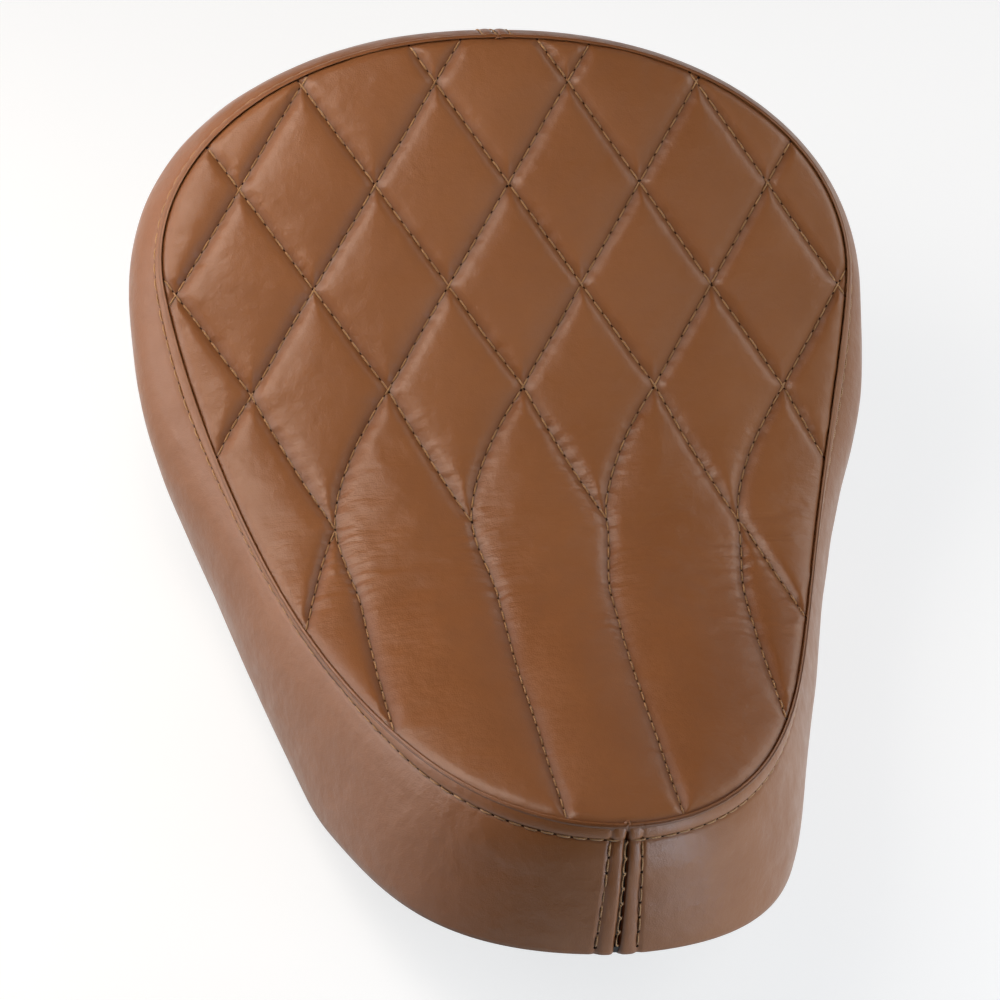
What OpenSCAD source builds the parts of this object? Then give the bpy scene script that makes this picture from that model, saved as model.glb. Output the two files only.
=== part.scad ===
// Solo motorcycle seat with a diamond-stitched leather cover, a foam core and a steel pan.
// Millimetres. +Z is up, the nose points to -Y and X runs across the seat.
// The origin lies between the two rear mounting holes, on the plane that the seat stands on.

/* [Top panel] */
// Length of the top panel along its curved centre line, rear seam to nose seam
top_len = 336; // [325:1:350]
// Distance from the rear seam to the widest part
wide_at = 90; // [80:1:100]
// Half width that the sides would reach without their taper
half_width = 129; // [120:1:135]
// Loss of half width per millimetre towards the nose
taper = 0.3; // [0.25:0.01:0.34]
// Squareness of the rear outline, 2 is an ellipse
rear_round = 2.15; // [2:0.05:2.6]
// Squareness of the nose outline
nose_round = 8.7; // [7:0.1:12]
// Slope of the kicked-up rear in degrees
rear_slope = 31; // [28:1:33]
// Slope of the nose in degrees, negative where it climbs towards its tip
nose_slope = -13; // [-16:1:-9]
// Distance from the rear seam to where the dish starts
bend_start = 85; // [78:1:95]
// Distance from the rear seam to where the dish ends
bend_end = 269; // [255:1:280]
// Height of the middle of the panel above its edges, at the reference half width
crown = 8; // [5:0.5:11]
// Height of the rear seam above the standing plane
rear_z = 148; // [145:1:152]

/* [Cover] */
// Thickness of the leather
leather = 1.4; // [1:0.1:2]
// How far the side band bulges outwards at half height
bulge = 4.5; // [3:0.5:6]
// How much more it bulges at the rear, and less at the nose
rear_bulge = 3.3; // [0:0.1:4]
// How much more it bulges at the waist
waist_bulge = 6.4; // [0:0.2:8]
// How far the band's foot stands outside its seam
side_flare = 4.6; // [2:0.2:6]
// How much more it stands out at the nose, and less at the rear
nose_flare = 5; // [2:0.2:6]
// Squareness of the foot's outline at the nose
foot_round = 15.5; // [10:0.5:18]
// Width of the hem turned under the pan
hem = 18; // [12:1:20]
// Across the seat, between stitch crossings in one row
diamond_w = 48; // [44:1:54]
// Along the seat, between rows of stitch crossings
row_pitch = 37; // [34:1:40]
// Radius of the sewing thread
thread_r = 0.45; // [0.3:0.05:0.6]

/* [Foam] */
// Thickness of the sewn-in quilting foam
quilt_t = 6; // [4:0.5:8]
// Thickness of the soft comfort layer
comfort_t = 12; // [8:1:14]

/* [Pan] */
// Thickness of the pressed steel
pan_t = 1.5; // [1.2:0.1:2.5]
// Height of the flat underside above the standing plane
pan_lift = 18; // [16:1:20]
// Slope of the rear of the pan in degrees
kick_slope = 34; // [28:1:36]
// Slope of the nose of the pan in degrees
nose_lift = 18; // [12:1:20]
// Radius of both bends
bend_r = 60; // [40:5:80]
// Width of the rubber edge trim around the pan
trim_w = 3; // [2.5:0.1:4]

/* [Brackets] */
// Thickness of both bracket plates
plate_t = 4; // [3:0.5:5]
// Distance between the rear mounting holes
rear_spacing = 80; // [60:1:90]
// Radius of the rear mounting holes
rear_hole_r = 4.25; // [3.2:0.05:5.2]
// Radius of the bore for the nose pivot bolt
pivot_r = 4.1; // [3.1:0.05:5.1]
// Length of the nose pivot bore
pivot_len = 44; // [36:1:56]

/* [Hidden] */

// Clearances, and how finely the curved solids are divided
eps = 0.02;
fit_gap = 0.2;
hem_gap = 0.4;
around = 64;
line_step = 5;
shrinks = [0.15, 0.4, 0.65, 0.85, 1];
downs = [0, 0.12, 0.3, 0.5, 0.7, 0.88, 1];

// Fixed places on the curved surfaces
rear_y = 88;
crown_ref = 120;
taper_soft = 37;
end_tuck = 2;
waist_s = 129;
waist_len = 39;
last_row_stretch = 1.4;
bent_power = 1.6;
channel_waist = 4;
side_reach = [20, 55];
seam_clear = 4;
panel_mid_s = 150;
floor_mid_y = -60;
kick_y = -33 - bend_r * tan(kick_slope / 2);
lift_y = -158 + bend_r * tan(nose_lift / 2);
cover_in = leather + fit_gap;
pan_in = leather + trim_w - 1;
trim_in = leather + trim_w + 2;
pan_rise = pan_t / cos(kick_slope);
last_row_s = wide_at + row_pitch * (1 + last_row_stretch);
topstitch_down = 0.08;

// Hardware
swage_x = 30;
swage_h = 4;
swage_ends = [-128, -64];
bumper_r = 11;
bumper_hole_r = 2.6;
bumper_at = [[-40, -140], [40, -140], [-68, -66], [68, -66]];
vent_r = 5;
vent_at = [[-58, -104], [0, -104], [58, -104]];
kick_vent_x = 66;
nose_y = -190;
nose_bolt_x = 28.5;
nose_bolt_r = 3;
nose_plate = [72, 34];
pivot_z = -15;
bush_wall = 1;
tube_r = pivot_r + bush_wall + 2;
ear_r = tube_r + 2.5;
bush_len = 12;
bush_flange = 1.5;
rear_bolt_y = 30;
rear_bolt_x = 30;
rear_bolt_r = 4;
rear_foot = [rear_spacing + 24, 37];
riser_y = 18;
flange_len = 30;
gusset = [12, 34];
rivet_n = 22;
rivet_r = 1.6;
rivet_angles = [for (i = [0:rivet_n - 1]) 360 * (i + 0.5) / rivet_n];
angles = [for (i = [0:around - 1]) 360 * i / around];

// Cubic ease from 0 to 1, and a ramp that starts smoothly
function clamp(t) = min(1, max(0, t));
function ease(t) = clamp(t) * clamp(t) * (3 - 2 * clamp(t));
function soft_ramp(t, r) = (t + sqrt(t * t + r * r)) / 2;
function turned(list) = [for (i = [len(list) - 1:-1:0]) list[i]];

// ---- Top surface
// Slope of the centre line, s runs from the rear seam to the nose seam
function slope(s) =
    rear_slope + (nose_slope - rear_slope) * ease((s - bend_start) / (bend_end - bend_start));
line_n = ceil(top_len / line_step);
line_ds = top_len / line_n;
line = [for (i = 0, y = rear_y, z = rear_z; i <= line_n;
             i = i + 1,
             y = y - line_ds * cos(slope((i - 0.5) * line_ds)),
             z = z - line_ds * sin(slope((i - 0.5) * line_ds))) [i * line_ds, y, z]];
line_y = [for (p = line) [p[0], p[1]]];
line_z = [for (p = line) [p[0], p[2]]];
function centre_y(s) = lookup(s, line_y);
function centre_z(s) = lookup(s, line_z);
function top_normal(s) = [0, -sin(slope(s)), cos(slope(s))];

// Point at distance s along the top and x across it, a given depth below the leather's face
function on_top(s, x, depth = 0) =
    [x, centre_y(s), centre_z(s)] - top_normal(s) * (crown * pow(x / crown_ref, 2) + depth);

// Half width of the outline, pulled in by inset on every side
function half_w(s, inset = 0, nose_square = nose_round) =
    let (d = s - wide_at)
    let (body = half_width - inset - taper * soft_ramp(d, taper_soft))
    let (rear = pow(1 - pow(clamp(-d / (wide_at - inset)), rear_round), 1 / rear_round))
    let (nose = sqrt(1 - pow(clamp(d / (top_len - wide_at - inset)), nose_square)))
    body * rear * nose;

// Outline point [x, s] at angle a, which runs rear, right side, nose, left side
function outline(a, inset = 0, nose_square = nose_round) =
    let (s = inset + (top_len - 2 * inset) * (1 - cos(a)) / 2)
    [(sin(a) >= 0 ? 1 : -1) * half_w(s, inset, nose_square), s];

// Outward normal of the outline at angle a, as [across, along] and in space
function outward(a, nose_square = nose_round) =
    let (d = outline(a + 1, 0, nose_square) - outline(a - 1, 0, nose_square))
    [d[1], -d[0]] / norm(d);
function outward3(a) =
    let (tilt = slope(outline(a)[1]))
    [outward(a)[0], -outward(a)[1] * cos(tilt), -outward(a)[1] * sin(tilt)];

// ---- Underside of the pan
// Height of a bend of radius r and angle a, at distance d past its start
function bend_z(d, r, a) =
    d <= 0 ? 0
    : d < r * sin(a) ? r - sqrt(r * r - d * d)
    : r * (1 - cos(a)) + (d - r * sin(a)) * tan(a);
function pan_z(y) =
    pan_lift + bend_z(y - kick_y, bend_r, kick_slope) + bend_z(lift_y - y, bend_r, nose_lift);
function pan_slope(y) = atan(pan_z(y + 0.5) - pan_z(y - 0.5));

// Depth from the top's centre line down to the pan, square to the top, by repeated correction
function pan_depth(s, d = 50, turns = 12) =
    turns == 0 ? d
    : pan_depth(s, (centre_z(s) - pan_z(centre_y(s) + d * sin(slope(s)))) / cos(slope(s)), turns - 1);

// Foot of the side band at angle a, moved inwards by inset along the pan and up by rise
function foot(a, inset = 0, rise = 0) =
    let (p = outline(a, 0, foot_round))
    let (o = outward(a, foot_round))
    let (along = 2 * p[1] / top_len - 1)
    let (out = side_flare + nose_flare * along - end_tuck * along * along - inset)
    let (y = centre_y(p[1]) + pan_depth(p[1]) * sin(slope(p[1])) - o[1] * out)
    [p[0] + o[0] * out, y, pan_z(y) + rise];

// Point on the side band, from 0 at the seam to 1 at the foot, moved outwards by off
function on_band(a, down, off = 0) =
    let (p = outline(a))
    let (seam = on_top(p[1], p[0]))
    let (belly = bulge + rear_bulge * (1 - 2 * p[1] / top_len)
                 + waist_bulge * exp(-pow((p[1] - waist_s) / waist_len, 2)))
    seam + (foot(a) - seam) * down + outward3(a) * (4 * belly * down * (1 - down) + off);

// ---- Solids from rings of points
function quads(rows, n, wrap) =
    [for (i = [0:rows - 1]) for (j = [0:n - 1])
        let (k = (j + 1) % n)
        let (h = (i + 1) % wrap)
        [i * n + j, i * n + k, h * n + k, h * n + j]];
function halves(list) = [for (q = list) each [[q[0], q[1], q[2]], [q[0], q[2], q[3]]]];

// Triangles across a loop of n points, laid as a ladder between its two sides
function cap(n) = [for (i = [0:floor((n - 1) / 2) - 1])
    let (far = n - 1 - i)
    each far - 1 > i + 1 ? [[i, i + 1, far - 1], [i, far - 1, far]] : [[i, i + 1, far]]];

// A run of equal closed loops, capped at both ends
module strip(loops) {
    n = len(loops[0]);
    m = len(loops);
    far = (m - 1) * n;
    polyhedron(points = [for (l = loops) each l],
               faces = concat([for (f = cap(n)) turned(f)], [for (f = cap(n)) [for (j = f) far + j]],
                              halves(quads(m - 1, n, m))));
}

// A closed tube, where the last loop joins the first
module hoop(loops) {
    n = len(loops[0]);
    m = len(loops);
    polyhedron(points = [for (l = loops) each l], faces = halves(quads(m, n, m)));
}

// Rings stacked from a first point to a last point
module blob(first, rings, last) {
    n = len(rings[0]);
    m = len(rings);
    ends = [n * m, n * m + 1];
    fans = [for (j = [0:n - 1]) let (k = (j + 1) % n)
        each [[ends[0], k, j], [ends[1], (m - 1) * n + j, (m - 1) * n + k]]];
    polyhedron(points = concat([for (r = rings) each r], [first, last]),
               faces = concat(fans, halves(quads(m - 1, n, m))));
}

// Ring of the top surface, scaled towards the middle of the panel
function top_ring(scale, depth, inset) =
    [for (a = angles)
        let (p = outline(a, inset))
        on_top(panel_mid_s + (p[1] - panel_mid_s) * scale, p[0] * scale, depth)];

// A layer that follows the top between two depths
module top_layer(upper, lower, inset) {
    blob(on_top(panel_mid_s, 0, upper),
         concat([for (k = shrinks) top_ring(k, upper, inset)],
                [for (k = turned(shrinks)) top_ring(k, lower, inset)]),
         on_top(panel_mid_s, 0, lower));
}

// ---- Cover
module top_panel() {
    color("sienna") top_layer(0, leather, cover_in);
}

// Section of the side band at angle a: its face, the hem turned under the pan, and its back
function band_loop(a) = concat(
    [for (d = downs) on_band(a, d)],
    [for (i = [leather / 3, hem / 2, hem]) foot(a, i, -leather - hem_gap)],
    [for (i = [hem, hem / 2]) foot(a, i, -hem_gap)],
    [for (d = turned(downs)) on_band(a, d, -leather)]);
module band_right() {
    color("peru") strip([for (i = [0:around / 2]) band_loop(360 * i / around)]);
}
module band_left() {
    color("chocolate") mirror([1, 0, 0]) band_right();
}

// Woven tape glued behind the seam at angle a, reaching an angle half to each side
function tape_side(a, off) = [for (d = [0.15, 0.35, 0.5, 0.65, 0.85]) on_band(a, d, off)];
module seam_tape(a, half) {
    strip([for (i = [-2:2])
        let (b = a + half * i / 2)
        concat(tape_side(b, -leather - 0.1), turned(tape_side(b, -leather - 0.7)))]);
}
module nose_seam_tape() {
    color("gray") seam_tape(180, 6);
}
module rear_seam_tape() {
    color("gray") seam_tape(360, 4);
}

// ---- Sewing
// Round a thread at point p that runs along t, on a surface with normal n
function thread_loop(p, t, n) =
    let (b = cross(t, n) / norm(t))
    [for (c = [0:60:300]) p + (b * cos(c) + n * sin(c)) * thread_r];

// A thread laid on the top panel through a list of [x, s] points
module top_thread(path) {
    last = len(path) - 1;
    strip([for (i = [0:last])
        let (a = path[max(0, i - 1)])
        let (b = path[min(last, i + 1)])
        thread_loop(on_top(path[i][1], path[i][0], -thread_r - eps),
                    on_top(b[1], b[0]) - on_top(a[1], a[0]), top_normal(path[i][1]))]);
}

// Rows of crossings are numbered from the rear, and the last one starts the long channels
function row_of(s) =
    let (d = s - wide_at - row_pitch)
    d < 0 ? 3 + d / row_pitch : 3 + d / (last_row_stretch * row_pitch);
function on_panel(path) = [for (p = path) if (abs(p[0]) < half_w(p[1]) - seam_clear) p];
function bent_row(s) = row_of(s) < 3 ? row_of(s) : 4 - pow(4 - row_of(s), bent_power);
function diagonal(start, side) =
    on_panel([for (s = [6:6:last_row_s])
        let (row = side < 0 ? bent_row(s) : row_of(s))
        [side * diamond_w * (start + (row - 1) / 2), s]]);
function channel(start) =
    on_panel([for (t = [0:0.125:1])
        [start * diamond_w - sign(start) * channel_waist * ease(4.5 * t),
         last_row_s + t * (top_len - last_row_s)]]);
function side_line(side) =
    on_panel([for (t = [0:0.125:1])
        [side * (1.5 * diamond_w + side_reach[0] * pow(t, 0.85)), last_row_s + side_reach[1] * t]]);
module quilt_thread() {
    color("goldenrod") {
        for (start = [-3:2], side = [-1, 1]) top_thread(diagonal(start, side));
        for (start = [-1.5:1:1.5]) top_thread(channel(start));
        for (side = [-1, 1]) top_thread(side_line(side));
    }
}

// Thread around the top of the band, just below the seam
function band_thread(a, down, t) =
    thread_loop(on_band(a, down, thread_r + eps), t, outward3(a));
module edge_thread() {
    color("goldenrod") hoop([for (a = angles)
        band_thread(a, topstitch_down, on_band(a + 3, topstitch_down) - on_band(a - 3, topstitch_down))]);
}

// Twin threads down both sides of the seam at angle a
module seam_thread(a, half) {
    for (b = [a - half, a + half])
        strip([for (d = [0.12:0.08:0.92]) band_thread(b, d, on_band(b, d + 0.04) - on_band(b, d - 0.04))]);
}
module nose_seam_thread() {
    color("goldenrod") seam_thread(180, 2.2);
}
module rear_seam_thread() {
    color("goldenrod") seam_thread(360, 1.6);
}

// ---- Foam
comfort_top = leather + quilt_t + fit_gap;
core_top = comfort_top + comfort_t + fit_gap;
module quilt_foam() {
    color("khaki") top_layer(leather + fit_gap, leather + quilt_t, cover_in + 1);
}
module comfort_foam() {
    color("lightyellow") top_layer(comfort_top, core_top - fit_gap, cover_in + 1.5);
}

// Rings of the core: down the inside of the band, then in across the pan
function core_side(down) = [for (a = angles) on_band(a, down, -leather - 1)];
function core_floor(scale) =
    [for (a = angles)
        let (p = foot(a, trim_in + 1.6))
        let (y = floor_mid_y + (p[1] - floor_mid_y) * scale)
        [p[0] * scale, y, pan_z(y) + pan_rise + fit_gap]];
module core_foam() {
    color("wheat") difference() {
        blob(on_top(panel_mid_s, 0, core_top),
             concat([for (k = shrinks) top_ring(k, core_top, cover_in + 1.5)],
                    [for (d = [0.55, 0.7, 0.85]) core_side(d)],
                    [for (k = turned(shrinks)) core_floor(k)]),
             [0, floor_mid_y, pan_z(floor_mid_y) + pan_rise + fit_gap]);
        at_nose_bolts() cylinder(r = 8, h = 10, $fn = 32);
        at_rear_bolts() cylinder(r = 10, h = 12, $fn = 32);
        at_bumpers() translate([0, 0, pan_lift]) cylinder(r = 7, h = 9, $fn = 32);
    }
}

// ---- Pan
// Frames with their origin on the pan's underside and +Z square to it
module on_nose() {
    translate([0, nose_y, pan_z(nose_y)]) rotate([-nose_lift, 0, 0]) children();
}
module on_kick() {
    translate([0, rear_bolt_y, pan_z(rear_bolt_y)]) rotate([kick_slope, 0, 0]) children();
}
module at_nose_bolts() {
    on_nose() for (x = [-nose_bolt_x, nose_bolt_x]) translate([x, 0, 0]) children();
}
module at_rear_bolts() {
    on_kick() for (x = [-rear_bolt_x, rear_bolt_x]) translate([x, 0, 0]) children();
}
module at_bumpers() {
    for (p = bumper_at) translate([p[0], p[1], 0]) children();
}
module at_vents() {
    for (p = vent_at) translate([p[0], p[1], pan_lift]) children();
    on_kick() for (x = [-kick_vent_x, kick_vent_x]) translate([x, 0, 0]) children();
}
module at_rivets() {
    for (a = rivet_angles)
        translate(foot(a, hem * 0.62)) rotate([pan_slope(foot(a, hem * 0.62)[1]), 0, 0]) children();
}

// Sheet that follows the pan, and a column with the pan's outline
function pan_line(up) =
    [for (y = [-262:6:130]) [y - up * sin(pan_slope(y)), pan_z(y) + up * cos(pan_slope(y))]];
module pan_sheet() {
    rotate([90, 0, 90]) linear_extrude(height = 400, center = true)
        polygon(concat(pan_line(0), turned(pan_line(pan_t))));
}
module pan_column() {
    linear_extrude(height = 300) polygon([for (a = [0:4:356]) let (p = foot(a, pan_in)) [p[0], p[1]]]);
}

// Stiffening swage pressed down below the flat of the pan, or its trench
module swages(half_bottom, half_top, low, high, ends) {
    for (x = [-swage_x, swage_x]) translate([x, ends[1], pan_lift]) rotate([90, 0, 0])
        linear_extrude(height = ends[1] - ends[0])
            polygon([[-half_bottom, low], [half_bottom, low], [half_top, high], [-half_top, high]]);
}
module seat_pan() {
    color("dimgray") difference() {
        union() {
            intersection() {
                pan_sheet();
                pan_column();
            }
            swages(5, 8, -swage_h, pan_t / 2, swage_ends);
        }
        swages(4, 6.5, -swage_h + pan_t, pan_t + 1, swage_ends + [2, -2]);
        at_nose_bolts() translate([0, 0, -1]) cylinder(r = nose_bolt_r + 0.3, h = pan_t + 2, $fn = 32);
        at_rear_bolts() translate([0, 0, -1]) cylinder(r = rear_bolt_r + 0.3, h = pan_t + 2, $fn = 32);
        at_bumpers() translate([0, 0, pan_lift - 1]) cylinder(r = bumper_hole_r, h = pan_t + 2, $fn = 32);
        at_vents() translate([0, 0, -1]) cylinder(r = vent_r, h = pan_t + 2, $fn = 32);
        at_rivets() translate([0, 0, -1]) cylinder(r = rivet_r + 0.1, h = pan_t + 2, $fn = 24);
    }
}

// Rubber trim over the pan's raw edge
module edge_trim() {
    color("black") hoop([for (a = [0:5:355]) [
        foot(a, leather + 0.1, -fit_gap), foot(a, leather + 0.1, pan_rise + 0.9),
        foot(a, trim_in, pan_rise + 0.9), foot(a, trim_in, pan_rise + 0.1),
        foot(a, pan_in - 0.1, pan_rise + 0.1), foot(a, pan_in - 0.1, -fit_gap)]]);
}

// Rubber grommets in the vents
module vent_grommets() {
    color("black") at_vents() rotate_extrude($fn = 48)
        polygon([[vent_r - 1.5, -1.2], [vent_r + 2, -1.2], [vent_r + 2, -eps], [vent_r - eps, -eps],
                 [vent_r - eps, pan_t], [vent_r + 1.2, pan_t + 0.1], [vent_r, pan_t + 0.9],
                 [vent_r - 1.5, pan_t + 0.9]]);
}

// ---- Hem fixings
hem_face = -leather - hem_gap - eps;
washer_t = 0.8;
module hem_washers() {
    color("silver") at_rivets() translate([0, 0, hem_face - washer_t]) difference() {
        cylinder(r = 5, h = washer_t, $fn = 32);
        translate([0, 0, -1]) cylinder(r = rivet_r + 0.1, h = washer_t + 2, $fn = 24);
    }
}
module hem_rivets() {
    color("gainsboro") at_rivets() translate([0, 0, hem_face - washer_t - eps]) rotate_extrude($fn = 32)
        polygon([[0, -1.4], [1.8, -1.2], [2.8, -0.6], [3, 0], [rivet_r, 0],
                 [rivet_r, pan_t + 3.4], [0, pan_t + 3.9]]);
}

// ---- Nose bracket with its pivot
module across(length) {
    translate([0, 0, pivot_z]) rotate([0, 90, 0]) linear_extrude(height = length, center = true) children();
}
module nose_bracket() {
    color("darkslategray") on_nose() difference() {
        union() {
            translate([-nose_plate[0] / 2, -nose_plate[1] / 2, -plate_t - eps])
                cube([nose_plate[0], nose_plate[1], plate_t]);
            for (x = [-pivot_len / 2 + plate_t, pivot_len / 2]) translate([x, 0, 0]) rotate([0, -90, 0])
                linear_extrude(height = plate_t) {
                    polygon([[-plate_t, -15], [pivot_z, -ear_r], [pivot_z, ear_r], [-plate_t, 15]]);
                    translate([pivot_z, 0]) circle(r = ear_r, $fn = 64);
                }
        }
        across(pivot_len + 2) circle(r = tube_r + eps, $fn = 64);
        for (x = [-nose_bolt_x, nose_bolt_x]) translate([x, 0, -plate_t - 1])
            cylinder(r = nose_bolt_r + 0.3, h = plate_t + 2, $fn = 32);
    }
}
module pivot_tube() {
    color("slategray") on_nose() across(pivot_len) difference() {
        circle(r = tube_r, $fn = 64);
        circle(r = pivot_r + bush_wall, $fn = 64);
    }
}

// Flanged bushes pressed into both ends of the tube
module pivot_bushes() {
    color("ivory") on_nose() for (side = [0, 1]) mirror([side, 0, 0])
        translate([pivot_len / 2 - bush_len + eps, 0, pivot_z]) rotate([0, 90, 0]) difference() {
            union() {
                cylinder(r = pivot_r + bush_wall - eps, h = bush_len + bush_flange, $fn = 64);
                translate([0, 0, bush_len]) cylinder(r = tube_r + 1, h = bush_flange, $fn = 64);
            }
            translate([0, 0, -1]) cylinder(r = pivot_r, h = bush_len + bush_flange + 2, $fn = 64);
        }
}

// Screw with a hexagon head at z = 0 and below, and its shank above
module hex_screw(r, head_r, head_h, shank) {
    translate([0, 0, -head_h]) cylinder(r = head_r, h = head_h, $fn = 6);
    cylinder(r = r - eps, h = shank, $fn = 32);
}
module ring(r_in, r_out, h) {
    difference() {
        cylinder(r = r_out, h = h, $fn = 32);
        translate([0, 0, -1]) cylinder(r = r_in, h = h + 2, $fn = 32);
    }
}
module nut(r, across_r, h) {
    difference() {
        cylinder(r = across_r, h = h, $fn = 6);
        translate([0, 0, -1]) cylinder(r = r, h = h + 2, $fn = 32);
    }
}
nose_washer_t = 1.6;
module nose_bolts() {
    color("lightgray") at_nose_bolts() translate([0, 0, -plate_t - nose_washer_t - 3 * eps])
        hex_screw(nose_bolt_r, 5.6, 4, plate_t + nose_washer_t + pan_t + 7);
}
module nose_washers() {
    color("silver") at_nose_bolts() translate([0, 0, -plate_t - nose_washer_t - 2 * eps])
        ring(nose_bolt_r + 0.2, 6.5, nose_washer_t);
}
module nose_weld_nuts() {
    color("gray") at_nose_bolts() translate([0, 0, pan_t + eps]) nut(nose_bolt_r, 5.8, 5);
}

// ---- Rear bracket: a foot on the standing plane, a riser and a flange under the kicked-up pan
rear_washer_t = 1.6;
module rear_bracket() {
    wide = rear_foot[0];
    color("darkslategray") difference() {
        union() {
            translate([-wide / 2, riser_y + plate_t - rear_foot[1], 0]) cube([wide, rear_foot[1], plate_t]);
            translate([-wide / 2, riser_y, 0]) cube([wide, plate_t, pan_z(riser_y) - plate_t / 2]);
            on_kick() translate([-wide / 2, (riser_y - rear_bolt_y) / cos(kick_slope), -plate_t - eps])
                cube([wide, flange_len, plate_t]);
            for (x = [-wide / 2 + plate_t, wide / 2]) translate([x, 0, 0]) rotate([90, 0, -90])
                linear_extrude(height = plate_t)
                    polygon([[gusset[0], plate_t / 2], [-riser_y - 1, plate_t / 2],
                             [-riser_y - 1, gusset[1]]]);
        }
        for (x = [-rear_spacing / 2, rear_spacing / 2]) translate([x, 0, -1])
            cylinder(r = rear_hole_r, h = plate_t + 2, $fn = 64);
        at_rear_bolts() translate([0, 0, -plate_t - 1])
            cylinder(r = rear_bolt_r + 0.3, h = plate_t + 2, $fn = 32);
    }
}
module rear_bolts() {
    color("lightgray") at_rear_bolts() translate([0, 0, -plate_t - rear_washer_t - 3 * eps])
        hex_screw(rear_bolt_r, 7.4, 5.3, plate_t + rear_washer_t + pan_t + 8);
}
module rear_washers() {
    color("silver") at_rear_bolts() translate([0, 0, -plate_t - rear_washer_t - 2 * eps])
        ring(rear_bolt_r + 0.2, 8, rear_washer_t);
}
module rear_weld_nuts() {
    color("gray") at_rear_bolts() translate([0, 0, pan_t + eps]) nut(rear_bolt_r, 7.4, 6.5);
}

// ---- Rubber bumpers, each with a steel washer, a screw and a nut
recess_r = 6.4;
recess_h = 8;
bumper_washer_t = 1.2;
module bumpers() {
    color("black") at_bumpers() rotate_extrude($fn = 64)
        polygon([[recess_r, 0], [bumper_r - 1, 0], [bumper_r, 1], [bumper_r - 1.5, pan_lift - eps],
                 [bumper_hole_r, pan_lift - eps], [bumper_hole_r, recess_h], [recess_r, recess_h]]);
}
module bumper_washers() {
    color("silver") at_bumpers() translate([0, 0, recess_h - bumper_washer_t - eps])
        ring(bumper_hole_r, recess_r - fit_gap, bumper_washer_t);
}
module bumper_screws() {
    color("lightgray") at_bumpers() translate([0, 0, recess_h - bumper_washer_t - 2 * eps])
        hex_screw(bumper_hole_r - 0.1, 4.6, 3.4, pan_lift - recess_h + pan_t + 7);
}
module bumper_nuts() {
    color("gray") at_bumpers() translate([0, 0, pan_lift + pan_t + eps]) nut(bumper_hole_r - 0.1, 4.6, 4);
}

top_panel();
quilt_foam();
comfort_foam();
core_foam();
band_left();
band_right();
nose_seam_tape();
rear_seam_tape();
quilt_thread();
edge_thread();
nose_seam_thread();
rear_seam_thread();
seat_pan();
edge_trim();
hem_washers();
hem_rivets();
nose_bracket();
pivot_tube();
pivot_bushes();
nose_bolts();
nose_washers();
nose_weld_nuts();
rear_bracket();
rear_bolts();
rear_washers();
rear_weld_nuts();
bumpers();
bumper_washers();
bumper_screws();
bumper_nuts();
vent_grommets();
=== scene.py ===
"""Looks of a solo motorcycle seat: quilted leather over foam on a steel pan."""

import math

import bpy
import numpy as np
from mathutils import Matrix, Vector, geometry, noise
from mathutils.bvhtree import BVHTree
from mathutils.kdtree import KDTree


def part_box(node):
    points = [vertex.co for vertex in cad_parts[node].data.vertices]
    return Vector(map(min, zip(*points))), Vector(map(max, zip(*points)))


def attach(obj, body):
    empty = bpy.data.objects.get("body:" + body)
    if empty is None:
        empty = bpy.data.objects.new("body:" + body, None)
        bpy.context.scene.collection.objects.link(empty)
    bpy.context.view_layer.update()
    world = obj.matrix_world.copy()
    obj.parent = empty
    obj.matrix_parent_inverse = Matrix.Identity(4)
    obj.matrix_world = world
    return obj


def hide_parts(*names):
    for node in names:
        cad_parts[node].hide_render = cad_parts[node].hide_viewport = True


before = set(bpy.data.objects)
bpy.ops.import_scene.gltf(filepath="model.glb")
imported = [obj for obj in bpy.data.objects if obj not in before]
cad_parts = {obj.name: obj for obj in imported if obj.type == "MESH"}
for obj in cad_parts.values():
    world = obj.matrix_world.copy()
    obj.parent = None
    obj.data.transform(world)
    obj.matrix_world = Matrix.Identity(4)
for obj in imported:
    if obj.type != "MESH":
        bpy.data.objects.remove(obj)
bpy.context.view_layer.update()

# ---------------------------------------------------------------- dimensions, in millimetres
MM = 0.001
TOP_LEN = 336.0          # rear seam to nose seam along the curved centre line
WIDE_AT = 90.0           # rear seam to the widest part
HALF_WIDTH = 129.0
TAPER, TAPER_SOFT = 0.3, 37.0            # how the outline narrows towards the nose
REAR_ROUND, NOSE_ROUND, FOOT_ROUND = 2.15, 8.7, 15.5     # powers; higher is squarer
REAR_SLOPE, NOSE_SLOPE = 31.0, -13.0     # of the centre line, in degrees
BEND_START, BEND_END = 85.0, 269.0       # the stretch over which its slope changes
CROWN, CROWN_REF = 8.0, 120.0            # the top's drop, this far from the centre line
BULGE, REAR_BULGE, WAIST_BULGE = 4.5, 3.3, 6.4   # how far the band bellies out
WAIST_S, WAIST_LEN = 129.0, 39.0
SIDE_FLARE, NOSE_FLARE, END_TUCK = 4.6, 5.0, 2.0 # how far the band's foot stands out
PAN_LIFT, PAN_BEND = 18.0, 60.0          # the pan's height, and the radius of its bends
KICK_SLOPE, KICK_FROM = 34.0, -33.0      # its kick-up at the rear
NOSE_LIFT, LIFT_FROM = 18.0, -158.0      # and its lift at the nose
PANEL_INSET = 1.6        # the CAD panel's edge inside its seam
LEATHER = 1.4
HEM, HEM_GAP = 18.0, 0.4                 # turned under the pan

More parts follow.
